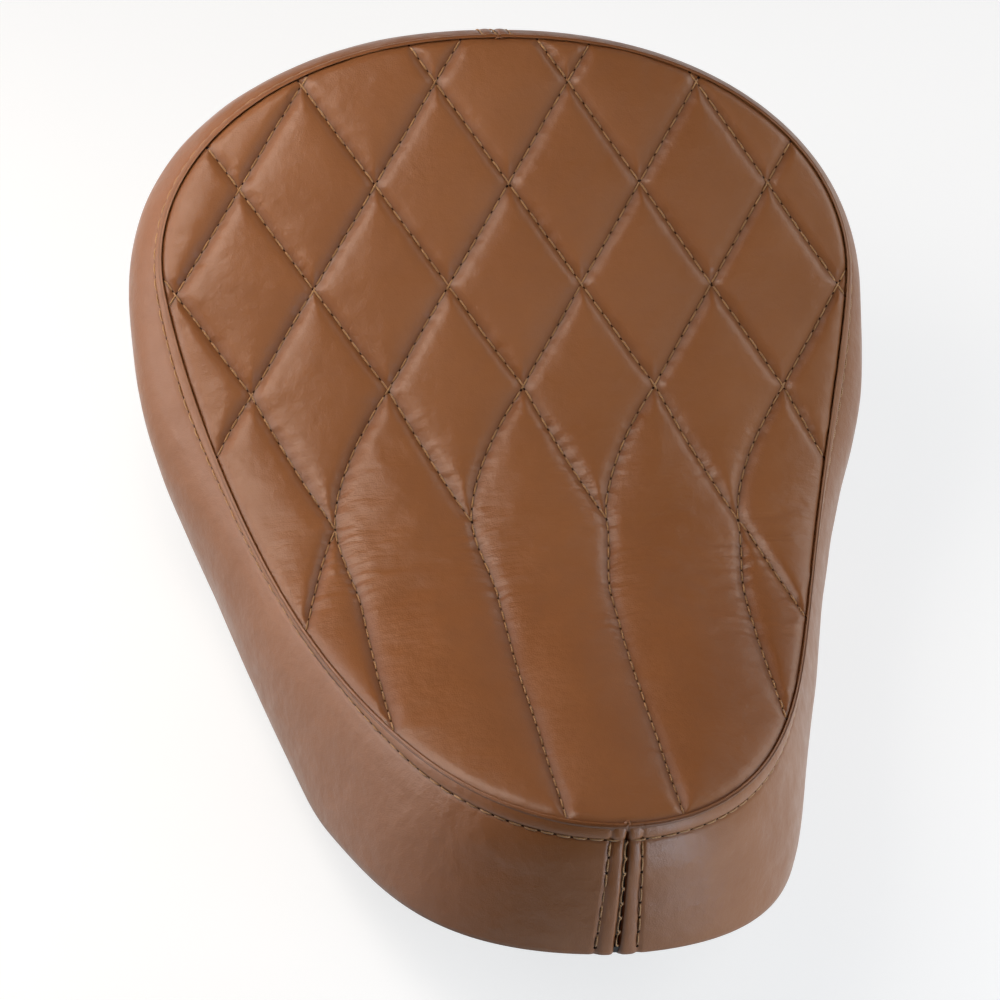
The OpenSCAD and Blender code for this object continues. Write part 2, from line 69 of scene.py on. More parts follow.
DIAMOND = 48.0           # between stitch crossings across the seat
ROW_PITCH = 37.0         # between rows of crossings
LAST_ROW_STRETCH = 1.4
BENT_POWER = 1.6         # how the left-leaning lines bend over below the last full row
SIDE_REACH, SIDE_RUN = 20.0, 55.0
LAST_ROW = WIDE_AT + ROW_PITCH * 2.4
CHANNEL_WAIST = 4.0      # how far the long channels draw in below the last row
STITCH = 5.6
STITCH_GAP = 0.7
THREAD_R = 0.31
TOPSTITCH_AT = 3.1       # below the seam, on the band
NOSE_TOPSTITCH = 3.2     # how much further below it runs at the nose
NOSE_FROM, NOSE_RUN = 235.0, 90.0        # where it starts to run lower
SEAM_ROW_AT = 5.0        # twin rows beside the nose and rear seams

SIM_GRID = 3.3           # spacing of the simulated panel inside its pillows
EDGE_GRID = 2.3          # and along its sewn lines
RINGS = (1.2, 2.7, 4.6)  # rows of points beside each sewn line
WALL, WALL_RUN = 1.9, 1.9        # steep side of a pillow beside its stitches
DOME, DOME_RUN = 1.5, 9.0        # and the soft dome beyond it
EDGE_WALL, EDGE_WALL_RUN = 1.3, 1.1      # the panel turns down only a little at the seam
EDGE_DOME, EDGE_DOME_RUN = 2.4, 12.0
EDGE_DROP = -1.0
GROOVE = 0.6             # how deep the stitches pull the leather
GAP = 0.22               # half of the open seam between panel and band
ON_LINE = 0.3            # points nearer than this to a sewn line are sewn down
QUILT_FOAM = 6.0
FOAM_SHRINK, FOAM_MIDDLE = 0.985, 165.0     # the foam stops a little inside the seam
CREASE_S, CREASE_LEN = 190, 38   # the leather creases most round here
PUCKERS, ACROSS, FOLDS = 0.05, 0.34, 0.42
PRESSURE, SIM_FRAMES = 4.0, 16
SIM_LIMIT = 2.0          # the simulation moves no point further than this
TOP_THICK, BAND_THICK, TAPE_THICK = 1.1, 1.0, 0.45
TAPE_HALF = 11.0         # half the width of the tape behind a seam, at its top

rng = np.random.default_rng(7)


# ---------------------------------------------------------------- shape of the seat
def ease(t):
    t = np.clip(t, 0.0, 1.0)
    return t * t * (3 - 2 * t)


def slope(s):
    """Slope of the centre line in radians, at distance s from the rear seam."""
    turn = ease((s - BEND_START) / (BEND_END - BEND_START))
    return np.radians(REAR_SLOPE + (NOSE_SLOPE - REAR_SLOPE) * turn)


panel_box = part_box("top_panel")
rear_slope = math.radians(REAR_SLOPE)
REAR_Y = panel_box[1].y / MM + PANEL_INSET * math.cos(rear_slope)
REAR_Z = panel_box[1].z / MM + PANEL_INSET * math.sin(rear_slope)
LINE_S = np.arange(-20.0, TOP_LEN + 21.0, 1.0)
steps = slope((LINE_S[1:] + LINE_S[:-1]) / 2)
LINE_Y = np.concatenate([[0], np.cumsum(-np.cos(steps))])
LINE_Z = np.concatenate([[0], np.cumsum(-np.sin(steps))])
LINE_Y += REAR_Y - np.interp(0, LINE_S, LINE_Y)
LINE_Z += REAR_Z - np.interp(0, LINE_S, LINE_Z)


def centre_y(s):
    return np.interp(s, LINE_S, LINE_Y)


def centre_z(s):
    return np.interp(s, LINE_S, LINE_Z)


def top_normal(s):
    a = slope(s)
    return np.stack([0 * a, -np.sin(a), np.cos(a)], -1)


def on_top(x, s, up=0.0):
    """Point of the top surface at x across and s along, raised by up."""
    drop = CROWN * (x / CROWN_REF) ** 2 - up
    return np.stack([x, centre_y(s), centre_z(s)], -1) - top_normal(s) * drop[..., None]


def half_w(s, nose_round=NOSE_ROUND):
    """Half the width of the outline at distance s."""
    d = s - WIDE_AT
    body = HALF_WIDTH - TAPER * (d + np.sqrt(d * d + TAPER_SOFT ** 2)) / 2
    rear = (1 - np.clip(-d / WIDE_AT, 0, 1) ** REAR_ROUND) ** (1 / REAR_ROUND)
    nose = np.sqrt(1 - np.clip(d / (TOP_LEN - WIDE_AT), 0, 1) ** nose_round)
    return body * rear * nose


def outline(a, nose_round=NOSE_ROUND):
    """Outline (x, s) at angle a in radians: rear 0, right side, nose pi, left side."""
    s = TOP_LEN * (1 - np.cos(a)) / 2
    return np.stack([np.sign(np.sin(a) + 1e-12) * half_w(s, nose_round), s], -1)


def outward(a, nose_round=NOSE_ROUND):
    """Flat outward direction of the outline at angle a."""
    d = outline(a + 0.017, nose_round) - outline(a - 0.017, nose_round)
    o = np.stack([d[..., 1], -d[..., 0]], -1)
    return o / np.linalg.norm(o, axis=-1, keepdims=True)


def outward3(a):
    """The same direction on the sloping top."""
    tilt, o = slope(outline(a)[..., 1]), outward(a)
    return np.stack([o[..., 0], -o[..., 1] * np.cos(tilt), -o[..., 1] * np.sin(tilt)], -1)


def bend_z(d, angle):
    """Height of the pan at distance d past the start of a bend."""
    a, r = math.radians(angle), PAN_BEND
    arc = r - np.sqrt(r * r - np.clip(d, 0, r * math.sin(a)) ** 2)
    return arc + np.maximum(d - r * math.sin(a), 0) * math.tan(a)


def pan_z(y):
    """Height of the pan's underside, which bends up at the rear and at the nose."""
    kick = KICK_FROM - PAN_BEND * math.tan(math.radians(KICK_SLOPE / 2))
    lift = LIFT_FROM + PAN_BEND * math.tan(math.radians(NOSE_LIFT / 2))
    return PAN_LIFT + bend_z(y - kick, KICK_SLOPE) + bend_z(lift - y, NOSE_LIFT)


def foot(a, inset=0.0):
    """Foot of the side band at angle a, moved inwards by inset along the pan."""
    p, o = outline(a, FOOT_ROUND), outward(a, FOOT_ROUND)
    s = p[..., 1]
    tilt, depth = slope(s), 50.0 + 0 * s
    for _ in range(14):
        depth = (centre_z(s) - pan_z(centre_y(s) + depth * np.sin(tilt))) / np.cos(tilt)
    along = 2 * s / TOP_LEN - 1
    out = SIDE_FLARE + NOSE_FLARE * along - END_TUCK * along ** 2 - inset
    y = centre_y(s) + depth * np.sin(tilt) - o[..., 1] * out
    return np.stack([p[..., 0] + o[..., 0] * out, y, pan_z(y)], -1)


def on_band(a, down):
    """Point of the side band at angle a, from 0 at the seam to 1 at the foot."""
    p = outline(a)
    seam, s = on_top(p[..., 0], p[..., 1]), p[..., 1]
    belly = BULGE + REAR_BULGE * (1 - 2 * s / TOP_LEN)
    belly = belly + WAIST_BULGE * np.exp(-((s - WAIST_S) / WAIST_LEN) ** 2)
    out = (4 * belly * down * (1 - down))[..., None]
    return seam + (foot(a) - seam) * np.asarray(down)[..., None] + outward3(a) * out


# ---------------------------------------------------------------- sewing pattern, flat (x, s) paths
def row_of(s):
    """Row of crossings at distance s from the rear seam, as a running number."""
    d = s - WIDE_AT - ROW_PITCH
    return np.where(d < 0, 3 + d / ROW_PITCH, 3 + d / (LAST_ROW_STRETCH * ROW_PITCH))


def wobble(path, amount=0.3):
    """Lets a sewn line wander a little, as a hand-guided one does."""
    k = rng.uniform(0, 100)
    w = [noise.noise(Vector((k, p[0] * 0.04, p[1] * 0.04))) for p in path]
    return path + np.outer(w, [amount, 0])


def inside_runs(path):
    """The part of a path that lies inside the outline, with its ends on the seam."""
    keep = np.abs(path[:, 0]) < half_w(np.clip(path[:, 1], 0.0, TOP_LEN - 0.01)) - 0.2
    keep &= (path[:, 1] > 0.2) & (path[:, 1] < TOP_LEN - 0.3)
    where = np.flatnonzero(keep)
    return path[where[0]:where[-1] + 1] if len(where) > 12 else None


def diagonal(start, side):
    """A line of the diamonds, which leans to the right (1) or to the left (-1)."""
    s = np.arange(0.0, LAST_ROW + 0.01, 0.5)
    s[-1] = LAST_ROW
    row = row_of(s)
    if side < 0:
        row = np.where(row > 3, 3 + (1 - (1 - np.clip(row - 3, 0, 1)) ** BENT_POWER), row)
    return np.stack([side * DIAMOND * (start + (row - 1) / 2), s], -1)


def channel(start):
    """A line that runs on from the last row of diamonds to the nose."""
    s = np.arange(LAST_ROW, TOP_LEN, 0.5)
    t = (s - LAST_ROW) / (TOP_LEN - LAST_ROW)
    draw = CHANNEL_WAIST * ease(4.5 * t) * math.copysign(1, start)
    return np.stack([start * DIAMOND - draw, s], -1)


def side_line(side):
    """The short line that leaves the last row for the seam, on each side."""
    t = np.linspace(0, 1, 110)
    return np.stack([side * (1.5 * DIAMOND + SIDE_REACH * t ** 0.85), LAST_ROW + SIDE_RUN * t], -1)


def sewing_paths():
    raw = [diagonal(k, side) for k in range(-4, 3) for side in (-1, 1)]
    raw += [channel(k) for k in (-1.5, -0.5, 0.5, 1.5)]
    raw += [side_line(side) for side in (-1, 1)]
    runs = [inside_runs(p) for p in raw]
    return [wobble(p) for p in runs if p is not None]


def arc_lengths(path):
    return np.concatenate([[0], np.cumsum(np.linalg.norm(np.diff(path, axis=0), axis=1))])


def resampled(path, spacing):
    run = arc_lengths(path)
    n = max(2, int(round(run[-1] / spacing)) + 1)
    t = np.linspace(0, run[-1], n)
    return np.stack([np.interp(t, run, path[:, k]) for k in range(path.shape[1])], -1)


PATHS = sewing_paths()
SEAM_ANGLES = np.linspace(0, 2 * math.pi, 1441)[:-1]
SEAM_LOOP = outline(SEAM_ANGLES)


# ---------------------------------------------------------------- meshes
def new_object(name, points, faces):
    """A mesh object from points in millimetres."""
    mesh = bpy.data.meshes.new(name)
    mesh.from_pydata((np.asarray(points) * MM).tolist(), [], [tuple(map(int, f)) for f in faces])
    mesh.validate()
    mesh.polygons.foreach_set("use_smooth", [True] * len(mesh.polygons))
    obj = bpy.data.objects.new(name, mesh)
    bpy.context.scene.collection.objects.link(obj)
    return obj


def grid_faces(rows, cols):
    i, j = np.meshgrid(np.arange(rows - 1), np.arange(cols - 1), indexing="ij")
    a = (i * cols + j).ravel()
    return np.stack([a, a + 1, a + cols + 1, a + cols], -1)


def points_of(obj):
    co = np.zeros(len(obj.data.vertices) * 3)
    obj.data.vertices.foreach_get("co", co)
    return co.reshape(-1, 3) / MM


def set_points(obj, points):
    obj.data.vertices.foreach_set("co", (points * MM).ravel())
    obj.data.update()


def normals_of(obj):
    n = np.zeros(len(obj.data.vertices) * 3)
    obj.data.vertices.foreach_get("normal", n)
    return n.reshape(-1, 3)


def store(obj, name, values):
    attribute = obj.data.attributes.new(name, "FLOAT", "POINT")
    attribute.data.foreach_set("value", np.asarray(values, dtype=float))


def stored(obj, name):
    values = np.zeros(len(obj.data.vertices))
    obj.data.attributes[name].data.foreach_get("value", values)
    return values


def apply_modifiers(obj):
    graph = bpy.context.evaluated_depsgraph_get()
    mesh = bpy.data.meshes.new_from_object(obj.evaluated_get(graph))
    obj.modifiers.clear()
    old, obj.data = obj.data, mesh
    name = old.name
    bpy.data.meshes.remove(old)
    mesh.name = name
    return obj


def solidify(obj, thickness):
    m = obj.modifiers.new("thickness", "SOLIDIFY")
    m.thickness, m.offset = thickness * MM, -1.0
    m.use_even_offset = False
    return apply_modifiers(obj)


def noise_at(points):
    return np.array([noise.noise(Vector(p)) for p in points])


def relief(points, sizes, weights, seed=0.0):
    """Smooth noise at each point, a weighted sum over feature sizes in millimetres."""
    shift = np.array([seed, 0, 0])
    return sum(w * noise_at(points / size + shift) for size, w in zip(sizes, weights))


# ---------------------------------------------------------------- materials
def material(name, colour, roughness, metallic=0.0):
    mat = bpy.data.materials.new(name)
    mat.use_nodes = True
    shader = mat.node_tree.nodes["Principled BSDF"]
    shader.inputs["Base Color"].default_value = (*colour, 1)
    shader.inputs["Roughness"].default_value = roughness
    shader.inputs["Metallic"].default_value = metallic
    return mat, mat.node_tree, shader


def add(tree, kind, **settings):
    node = tree.nodes.new(kind)
    for key, value in settings.items():
        if hasattr(node, key):
            setattr(node, key, value)
        else:
            node.inputs[key.replace("_", " ")].default_value = value
    return node


def noise_node(tree, coords, scale, detail=3.0, stretch=None):
    """Noise in object space; scale is per metre."""
    source = coords
    if stretch:
        mapping = add(tree, "ShaderNodeMapping")
        mapping.inputs["Scale"].default_value = stretch
        tree.links.new(coords, mapping.inputs["Vector"])
        source = mapping.outputs["Vector"]
    node = add(tree, "ShaderNodeTexNoise")
    node.inputs["Scale"].default_value = scale
    node.inputs["Detail"].default_value = detail
    tree.links.new(source, node.inputs["Vector"])
    return node.outputs["Fac"]


def ramp(tree, value, stops):
    node = add(tree, "ShaderNodeValToRGB")
    band = node.color_ramp
    while len(band.elements) < len(stops):
        band.elements.new(0.5)
    for element, (at, colour) in zip(band.elements, stops):
        element.position = at
        element.color = (*colour, 1)
    tree.links.new(value, node.inputs["Fac"])
    return node.outputs["Color"]


def mixed(tree, factor, a, b, kind="MIX"):
    node = add(tree, "ShaderNodeMix", data_type="RGBA", blend_type=kind)
    for value, slot in ((factor, node.inputs[0]), (a, node.inputs[6]), (b, node.inputs[7])):
        if hasattr(value, "links") or hasattr(value, "is_linked"):
            tree.links.new(value, slot)
        elif isinstance(value, tuple):
            slot.default_value = (*value, 1)
        else:
            slot.default_value = value
    return node.outputs[2]


def remap(tree, value, low, high, to_low, to_high):
    node = add(tree, "ShaderNodeMapRange")
    limits = {"From Min": low, "From Max": high, "To Min": to_low, "To Max": to_high}
    for name, number in limits.items():
        node.inputs[name].default_value = number
    tree.links.new(value, node.inputs["Value"])
    return node.outputs["Result"]


def bumped(tree, shader, layers):
    """Chains bump layers, each (height socket, depth in metres)."""
    normal = None
    for height, depth in layers:
        node = add(tree, "ShaderNodeBump")
        node.inputs["Strength"].default_value = 1.0
        node.inputs["Distance"].default_value = depth
        tree.links.new(height, node.inputs["Height"])
        if normal:
            tree.links.new(normal, node.inputs["Normal"])
        normal = node.outputs["Normal"]
    tree.links.new(normal, shader.inputs["Normal"])


def object_coords(tree):
    return add(tree, "ShaderNodeTexCoord").outputs["Object"]


def attribute_of(tree, name):
    return add(tree, "ShaderNodeAttribute", attribute_name=name).outputs["Fac"]


def leather_material():
    """Tan leather; the fold attribute paints shade into it in the grooves beside the stitches and
    seams, and the creased attribute says how much fine creasing it has.
    """
    mat, tree, shader = material("tan_leather", (0.3, 0.125, 0.05), 0.42)
    coords = object_coords(tree)
    cloud = noise_node(tree, coords, 22, 4)
    mottle = noise_node(tree, coords, 160, 5)
    base = ramp(tree, cloud, [(0.3, (0.27, 0.098, 0.032)), (0.7, (0.31, 0.118, 0.042))])
    base = mixed(tree, remap(tree, mottle, 0.4, 0.8, 0.0, 0.2), base, (0.235, 0.082, 0.025))
    # Painted shade: darkens the leather towards dark brown in the grooves beside the sewn lines and
    # in the seams.
    wear_and_painted_shade = mixed(tree, attribute_of(tree, "painted_groove_shade"), base, (0.12, 0.04, 0.013))
    tree.links.new(wear_and_painted_shade, shader.inputs["Base Color"])
    rough = remap(tree, mottle, 0.3, 0.75, 0.32, 0.44)
    tree.links.new(rough, shader.inputs["Roughness"])
    shader.inputs["Specular IOR Level"].default_value = 0.5
    shader.inputs["Coat Weight"].default_value = 0.12
    shader.inputs["Coat Roughness"].default_value = 0.3
    cells = add(tree, "ShaderNodeTexVoronoi", feature="DISTANCE_TO_EDGE")
    cells.inputs["Scale"].default_value = 1100
    tree.links.new(coords, cells.inputs["Vector"])
    grain = remap(tree, cells.outputs["Distance"], 0.0, 0.18, 0.0, 1.0)
    pores = noise_node(tree, coords, 2600, 2)
    swell = noise_node(tree, coords, 90, 3)
    fine = noise_node(tree, coords, 420, 3, stretch=(0.13, 1.0, 1.0))
    creases = add(tree, "ShaderNodeMath", operation="MULTIPLY")
    tree.links.new(fine, creases.inputs[0])
    tree.links.new(attribute_of(tree, "creased"), creases.inputs[1])
    bumped(tree, shader, [(swell, 0.0008), (creases.outputs[0], 0.0005), (grain, 0.000025),
                          (pores, 0.00003)])
    return mat


def thread_material():
    mat, tree, shader = material("gold_thread", (0.4, 0.2, 0.08), 0.5)
    coords = object_coords(tree)
    tone = noise_node(tree, coords, 140, 2)
    colour = ramp(tree, tone, [(0.3, (0.36, 0.17, 0.055)), (0.7, (0.5, 0.26, 0.1))])
    tree.links.new(colour, shader.inputs["Base Color"])
    twist = add(tree, "ShaderNodeTexWave", wave_type="BANDS", bands_direction="DIAGONAL")
    twist.inputs["Scale"].default_value = 520
    tree.links.new(coords, twist.inputs["Vector"])
    shader.inputs["Sheen Weight"].default_value = 0.3
    bumped(tree, shader, [(twist.outputs["Fac"], 0.00012)])
    return mat


def hole_shade_material():
    # Painted shade: the near-black colour stands for the shade inside the needle holes.
    mat, tree, shader = material("needle_hole_shade", (0.02, 0.009, 0.005), 0.9)
    shade = ramp(tree, noise_node(tree, object_coords(tree), 900, 2),
                 [(0.3, (0.012, 0.005, 0.003)), (0.7, (0.04, 0.018, 0.01))])
    tree.links.new(shade, shader.inputs["Base Color"])
    shader.inputs["Specular IOR Level"].default_value = 0.1
    return mat


def foam_material(name, pale, deep, cell):
    mat, tree, shader = material(name, pale, 0.95)
    coords = object_coords(tree)
    cells = add(tree, "ShaderNodeTexVoronoi", feature="F1")
    cells.inputs["Scale"].default_value = 1 / (cell * MM)
    tree.links.new(coords, cells.inputs["Vector"])
    # Painted shade: the darker colour sits in the cells' hollows, the low points of the bump below.
    colour = ramp(tree, cells.outputs["Distance"], [(0.1, deep), (0.55, pale)])
    age = remap(tree, noise_node(tree, coords, 18, 4), 0.35, 0.7, 0.0, 0.35)
    colour = mixed(tree, age, colour, tuple(c * f for c, f in zip(pale, (0.85, 0.72, 0.5))))
    tree.links.new(colour, shader.inputs["Base Color"])
    bumped(tree, shader, [(cells.outputs["Distance"], 0.0008)])
    return mat


def tape_material():
    mat, tree, shader = material("woven_tape", (0.12, 0.075, 0.045), 0.9)
    coords = object_coords(tree)
    heights = []
    for direction in ("X", "Z"):
        wave = add(tree, "ShaderNodeTexWave", wave_type="BANDS", bands_direction=direction)
        wave.inputs["Scale"].default_value = 420
        tree.links.new(coords, wave.inputs["Vector"])
        heights.append(wave.outputs["Color"])
    weave = mixed(tree, 0.5, heights[0], heights[1], "MULTIPLY")
    # Painted shade: the tape is darkest between the yarns, where the weave's bump is lowest.
    tint = mixed(tree, weave, (0.06, 0.035, 0.02), (0.17, 0.11, 0.07))
    tree.links.new(tint, shader.inputs["Base Color"])
    bumped(tree, shader, [(weave, 0.00015)])
    return mat


def coated_steel(name, colour, wear=0.62):
    mat, tree, shader = material(name, colour, 0.42)
    coords = object_coords(tree)
    peel = noise_node(tree, coords, 900, 2)
    scuff = noise_node(tree, coords, 240, 8)
    # Scuffs, where the black coating is worn through to grey.
    wear_and_painted_shade = remap(tree, scuff, wear, wear + 0.1, 0.0, 0.3)
    tint = mixed(tree, wear_and_painted_shade, colour, (0.14, 0.135, 0.13))
    dust = remap(tree, noise_node(tree, coords, 24, 5), 0.45, 0.8, 0.0, 0.12)
    tree.links.new(mixed(tree, dust, tint, (0.17, 0.155, 0.135)), shader.inputs["Base Color"])
    tree.links.new(remap(tree, scuff, 0.3, 0.8, 0.34, 0.62), shader.inputs["Roughness"])
    bumped(tree, shader, [(peel, 0.00006), (scuff, 0.00008)])
    return mat


def zinc_steel():
    mat, tree, shader = material("zinc_plated", (0.55, 0.55, 0.53), 0.3, 1.0)
    coords = object_coords(tree)
    spangle = noise_node(tree, coords, 260, 4)
    colour = ramp(tree, spangle, [(0.3, (0.43, 0.44, 0.45)), (0.55, (0.6, 0.59, 0.55)),
                                  (0.75, (0.56, 0.5, 0.38))])
    tree.links.new(colour, shader.inputs["Base Color"])
    scratch = noise_node(tree, coords, 500, 4, stretch=(1.0, 0.1, 1.0))
    tree.links.new(remap(tree, scratch, 0.3, 0.7, 0.22, 0.5), shader.inputs["Roughness"])
    bumped(tree, shader, [(scratch, 0.00004)])
    return mat


def rubber():
    mat, tree, shader = material("black_rubber", (0.018, 0.018, 0.019), 0.72)
    coords = object_coords(tree)
    bloom = remap(tree, noise_node(tree, coords, 45, 5), 0.4, 0.75, 0.0, 0.5)
    tint = mixed(tree, bloom, (0.015, 0.015, 0.016), (0.06, 0.057, 0.053))
    tree.links.new(tint, shader.inputs["Base Color"])
    tree.links.new(remap(tree, bloom, 0.0, 0.5, 0.6, 0.85), shader.inputs["Roughness"])
    bumped(tree, shader, [(noise_node(tree, coords, 1500, 2), 0.00006)])
    return mat


def nylon():
    mat, tree, shader = material("nylon", (0.72, 0.69, 0.6), 0.4)
    coords = object_coords(tree)
    colour = ramp(tree, noise_node(tree, coords, 120, 3),
                  [(0.3, (0.66, 0.62, 0.52)), (0.7, (0.75, 0.72, 0.63))])
    tree.links.new(colour, shader.inputs["Base Color"])
    shader.inputs["Subsurface Weight"].default_value = 0.1
    shader.inputs["Subsurface Radius"].default_value = (0.002, 0.0015, 0.001)
    bumped(tree, shader, [(noise_node(tree, coords, 700, 3), 0.00005)])
    return mat


LEATHER_MAT = leather_material()
THREAD_MAT = thread_material()
HOLE_SHADE_MAT = hole_shade_material()


def finish_piece(obj, mat, slot_name, *nodes):
    """Gives a piece its material and its body, and hides the CAD nodes it stands for; slot_name is
    not used.
    """
    obj.data.materials.clear()
    obj.data.materials.append(mat)
    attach(obj, "root")
    if nodes:
        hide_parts(*nodes)
    return obj


# ---------------------------------------------------------------- quilted top
def nearest_tables():
    """Sample points of the sewn lines and of the seam, for distance lookups."""
    samples, runs = [], []
    for path in PATHS:
        fine = resampled(path, 0.4)
        samples.append(fine)
        runs.append(arc_lengths(fine))
    lines = np.concatenate(samples)
    tree = KDTree(len(lines))
    for i, p in enumerate(lines):
        tree.insert((p[0], p[1], 0), i)
    tree.balance()
    seam = KDTree(len(SEAM_LOOP))
    for i, p in enumerate(SEAM_LOOP):
        seam.insert((p[0], p[1], 0), i)
    seam.balance()
    return tree, np.concatenate(runs), seam


LINE_TREE, LINE_RUN, SEAM_TREE = nearest_tables()


def line_distance(flat):
    """Distance to the nearest sewn line, and how far along it, for each (x, s)."""
    found = [LINE_TREE.find((p[0], p[1], 0)) for p in flat]
    return np.array([f[2] for f in found]), LINE_RUN[[f[1] for f in found]]


def seam_distance(flat):
    return np.array([SEAM_TREE.find((p[0], p[1], 0))[2] for p in flat])


def pillow(d, wall=WALL, wall_run=WALL_RUN, dome=DOME, dome_run=DOME_RUN):
    """Height of a pillow at distance d from its sewn edge: a steep wall, then a soft dome."""
    d = np.maximum(d - ON_LINE, 0)
    return wall * (1 - np.exp(-(d / wall_run) ** 1.5)) + dome * (1 - np.exp(-d / dome_run)) - GROOVE


def beside(path, off):
    """Points at distance off on both sides of a flat path."""
    fine = resampled(path, EDGE_GRID)
    along = np.gradient(fine, axis=0)
    along /= np.linalg.norm(along, axis=1, keepdims=True)
    across = np.stack([along[:, 1], -along[:, 0]], -1) * off
    return np.vstack([fine + across, fine - across])


def inside(flat, clear):
    """Points inside the outline that keep clear of every sewn line and of the seam."""
    s = np.clip(flat[:, 1], 0.0, TOP_LEN)
    flat = flat[(np.abs(flat[:, 0]) < half_w(s)) & (s == flat[:, 1])]
    return flat[np.minimum(line_distance(flat)[0], seam_distance(flat)) > clear]


def panel_mesh():
    """Flat triangles that follow the sewn lines, as (x, s) points and faces."""
    closed = np.vstack([SEAM_LOOP, SEAM_LOOP[:1]])
    loop = resampled(closed, EDGE_GRID)[:-1]
    verts = [tuple(p) for p in loop]
    edges = []
    for path in PATHS:
        line, base = resampled(path, EDGE_GRID), len(verts)
        verts += [tuple(p) for p in line]
        edges += [(base + i, base + i + 1) for i in range(len(line) - 1)]
    for off in RINGS:
        ring = np.vstack([beside(path, off) for path in PATHS + [closed]])
        verts += [tuple(p) for p in inside(ring, off * 0.96)]
    xs = np.arange(-HALF_WIDTH, HALF_WIDTH, SIM_GRID)
    fill = []
    for i, s in enumerate(np.arange(SIM_GRID, TOP_LEN, SIM_GRID * 0.866)):
        fill += [(x + (i % 2) * SIM_GRID / 2, s) for x in xs]
    verts += [tuple(p) for p in inside(np.array(fill), RINGS[-1] + SIM_GRID * 0.5)]
    made = geometry.delaunay_2d_cdt(
        [Vector(v) for v in verts], edges, [list(range(len(loop)))], 1, 1e-3
    )
    return np.array([tuple(v) for v in made[0]]), [f[::-1] for f in made[2]]


CLOTH = {
    "vertex_group_mass": "pin", "quality": 6, "mass": 0.25, "tension_stiffness": 12,
    "compression_stiffness": 12, "shear_stiffness": 6, "bending_stiffness": 0.6,
    "use_pressure": True, "uniform_pressure_force": PRESSURE,
}


def inflate(obj, pinned):
    """Blows a pinned sheet up as cloth, and keeps each point's move below SIM_LIMIT."""
    start = points_of(obj)
    group = obj.vertex_groups.new(name="pin")
    group.add([int(i) for i in np.flatnonzero(pinned)], 1.0, "REPLACE")
    cloth = obj.modifiers.new("cloth", "CLOTH")
    for key, value in CLOTH.items():
        setattr(cloth.settings, key, value)
    cloth.settings.effector_weights.gravity = 0.0
    cloth.point_cache.frame_start, cloth.point_cache.frame_end = 1, SIM_FRAMES
    scene = bpy.context.scene
    for f in range(1, SIM_FRAMES + 1):
        scene.frame_set(f)
    graph = bpy.context.evaluated_depsgraph_get()
    posed = obj.evaluated_get(graph).to_mesh()
    co = np.zeros(len(posed.vertices) * 3)
    posed.vertices.foreach_get("co", co)
    obj.modifiers.remove(cloth)
    scene.frame_set(1)
    move = co.reshape(-1, 3) / MM - start
    size = np.linalg.norm(move, axis=1, keepdims=True)
    move *= np.minimum(1, SIM_LIMIT / np.maximum(size, 1e-6))
    set_points(obj, start + move)


def creasing(flat, line_d):
    """How creased the leather is: most where the seat bends and beside the stitches."""
    bend = np.exp(-((flat[:, 1] - CREASE_S) / CREASE_LEN) ** 2)
    patch = noise_at(np.stack([flat[:, 0] / 26, flat[:, 1] / 22, 0 * line_d + 3], -1))
    close = 0.6 + 0.4 * np.exp(-line_d / 8)
    return np.clip((0.16 + bend) * close * (0.8 + 1.4 * patch), 0.08, 1)


def panel_relief(obj, flat, line_d, seam_d, run):
    """Small heights on the panel: puckers at each stitch, creases and slack."""
    pull = noise_at(np.stack([run / 9, line_d * 0, 0 * run + 5], -1))
    puckers = -np.cos(2 * math.pi * run / STITCH) * np.exp(-line_d / 2.2) * ease(line_d / 0.9)
    across = noise_at(np.stack([run / 2.3, line_d / 14, 0 * run], -1))
    across *= np.exp(-line_d / 4.5) * ease(line_d / 1.2) * np.clip(0.3 + 1.6 * pull, 0, 1)
    lean = flat[:, 1] + 0.12 * flat[:, 0]
    folds = noise_at(np.stack([flat[:, 0] / 15, lean / 2.7, 0 * run], -1))
    clear = ease(np.minimum(line_d, seam_d) / 6)
    detail = PUCKERS * puckers + ACROSS * across * ease(seam_d / 5)
    detail += FOLDS * folds * creasing(flat, line_d) * ease(seam_d / 6)
    return detail + relief(points_of(obj), (34, 11), (0.45, 0.06)) * clear


def subdivide(obj, sewn):
    """One subdivision that keeps the edges between sewn points fairly sharp."""
    creases = obj.data.attributes.new("crease_edge", "FLOAT", "EDGE")
    ends = np.zeros(len(obj.data.edges) * 2, int)
    obj.data.edges.foreach_get("vertices", ends)
    creases.data.foreach_set("value", np.where(sewn[ends.reshape(-1, 2)].all(1), 0.7, 0.0))
    m = obj.modifiers.new("smooth", "SUBSURF")
    m.levels = m.render_levels = 1
    apply_modifiers(obj)


